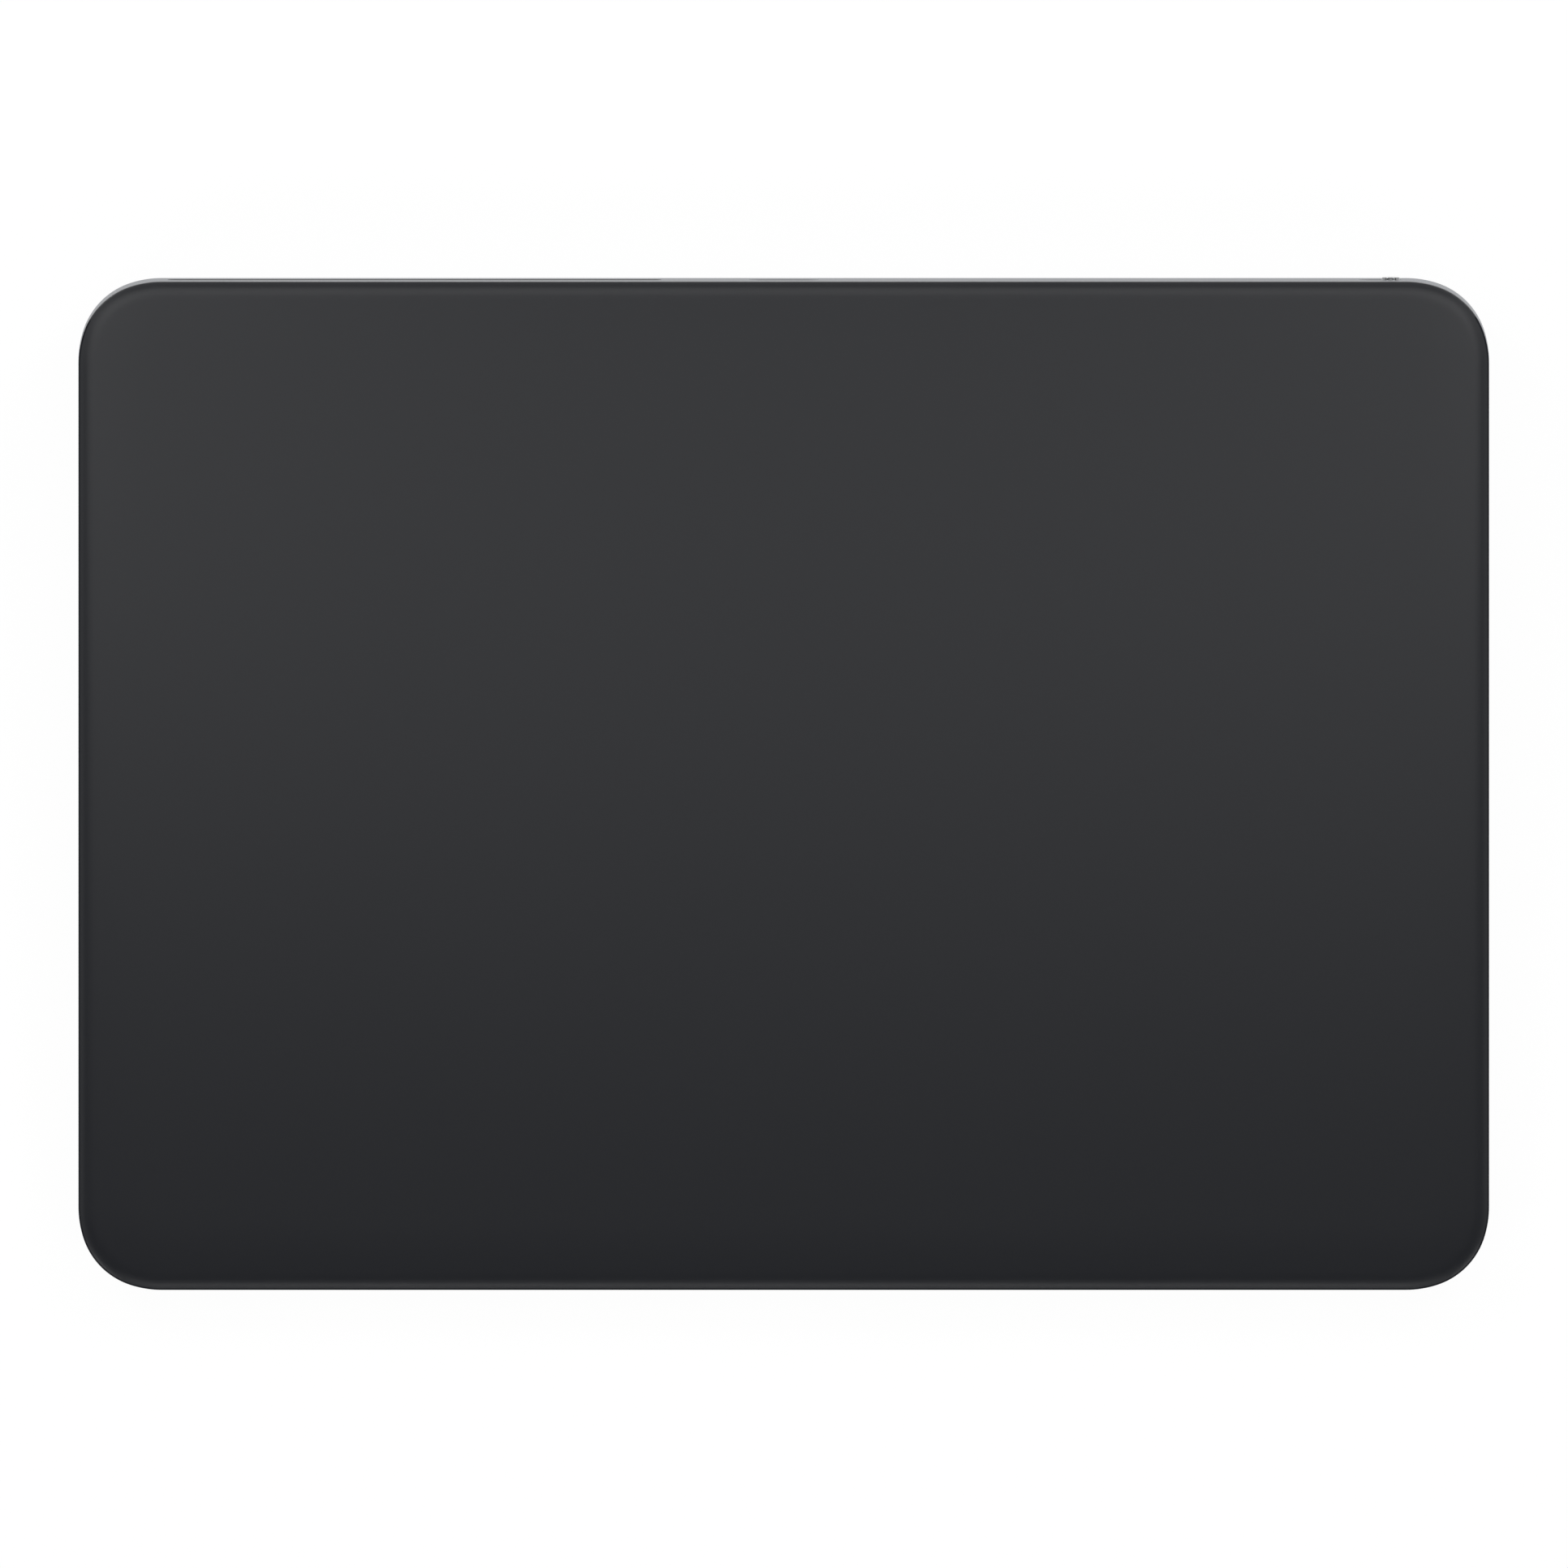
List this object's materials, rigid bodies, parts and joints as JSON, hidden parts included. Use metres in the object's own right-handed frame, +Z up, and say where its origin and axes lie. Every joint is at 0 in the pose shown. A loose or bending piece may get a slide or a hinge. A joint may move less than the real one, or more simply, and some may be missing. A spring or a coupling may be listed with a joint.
{
  "type": "trackpad",
  "caption": "Low wedge-shaped desk trackpad: black glass top floating on force beams in a slim aluminium case, with aerial window, charging port and sliding power switch at the back.",
  "frame": {"origin": "on the desk, under the middle of the footprint", "axes": "+X to the user's right, +Y away from the user towards the back wall, +Z up"},
  "size_m": [0.16, 0.1149, 0.0108],
  "materials": {
    "case_alloy": "fine bead-blasted and clear anodised",
    "black_glass": "finely etched glass, inked black on its back",
    "seal_foam": "black closed-cell foam",
    "adhesive": "black adhesive film",
    "circuit_board": "dark solder mask",
    "sheet_steel": "rolled stainless sheet",
    "chip_resin": "moulded black resin",
    "core_iron": "stacked electrical steel",
    "ribbon_film": "amber film over copper",
    "gel_silicone": "soft translucent gel",
    "screw_steel": "plated steel",
    "copper": "enamelled or bare copper",
    "cell_pouch": "black laminated pouch",
    "socket_resin": "black moulded resin",
    "tin_plate": "tinned sheet",
    "port_steel": "satin stainless steel",
    "gold_plate": "gold plate",
    "knob_alloy": "turned and anodised, bright face",
    "switch_resin": "grey moulded resin",
    "green_flag": "green printed film",
    "window_resin": "dark grey moulded resin, flush with the wall",
    "spring_steel": "spring steel",
    "foot_rubber": "grey silicone rubber"
  },
  "bodies": {
    "base": {"base_case": "case_alloy", "strain_gauges": "ribbon_film", "beam_screws": "screw_steel", "haptic_plate": "sheet_steel", "haptic_cores": "core_iron", "haptic_coils": "copper", "haptic_screws": "screw_steel", "haptic_flex": "ribbon_film", "battery_cell": "cell_pouch", "battery_tape": "adhesive", "battery_guard_board": "circuit_board", "battery_lead": "ribbon_film", "logic_board": "circuit_board", "board_screws": "screw_steel", "board_connectors": "socket_resin", "board_chips": "chip_resin", "shield_can": "tin_plate", "port_shell": "port_steel", "port_insulator": "socket_resin", "port_contacts": "gold_plate", "port_saddle": "port_steel", "saddle_screws": "screw_steel", "switch_housing": "switch_resin", "switch_terminals": "gold_plate", "aerial_window": "window_resin", "aerial_carrier": "switch_resin", "aerial_foil": "copper", "aerial_lead": "ribbon_film", "foot_tapes": "adhesive", "force_beam_front_left": "spring_steel", "foot_front_left": "foot_rubber", "force_beam_front_right": "spring_steel", "foot_front_right": "foot_rubber", "force_beam_rear_left": "spring_steel", "foot_rear_left": "foot_rubber", "force_beam_rear_right": "spring_steel", "foot_rear_right": "foot_rubber", "gauge_flex_left": "ribbon_film", "gauge_flex_right": "ribbon_film"},
    "power_slider": {"power_knob": "knob_alloy", "switch_carriage": "switch_resin", "on_flag": "green_flag", "switch_wiper": "copper"},
    "suspension": {"pad_carriers": "sheet_steel", "gel_pads": "gel_silicone"},
    "touch_deck": {"glass_plate": "black_glass", "rim_seal": "seal_foam", "bond_film": "adhesive", "touch_board": "circuit_board", "stiffener_plate": "sheet_steel", "touch_chips": "chip_resin", "pole_bars": "core_iron", "touch_flex": "ribbon_film"}
  },
  "joints": [
    {"name": "power_switch_slide", "type": "slide", "parent": "base", "child": "power_slider", "axis": [1, 0, 0], "range_m": [-0.0024, 0]},
    {"name": "surface_press", "type": "slide", "parent": "base", "child": "suspension", "axis": [0, -0.0524, 0.9986], "range_m": [-0.0002, 0], "stiffness_N_per_m": 20000, "springref_m": 0.0001, "deforming": ["rim_seal", "force_beam_front_left", "force_beam_front_right", "force_beam_rear_left", "force_beam_rear_right"]},
    {"name": "haptic_shake", "type": "slide", "parent": "suspension", "child": "touch_deck", "axis": [1, 0, 0], "range_m": [-0.00015, 0.00015], "stiffness_N_per_m": 30000, "deforming": ["gel_pads", "touch_flex"]}
  ]
}
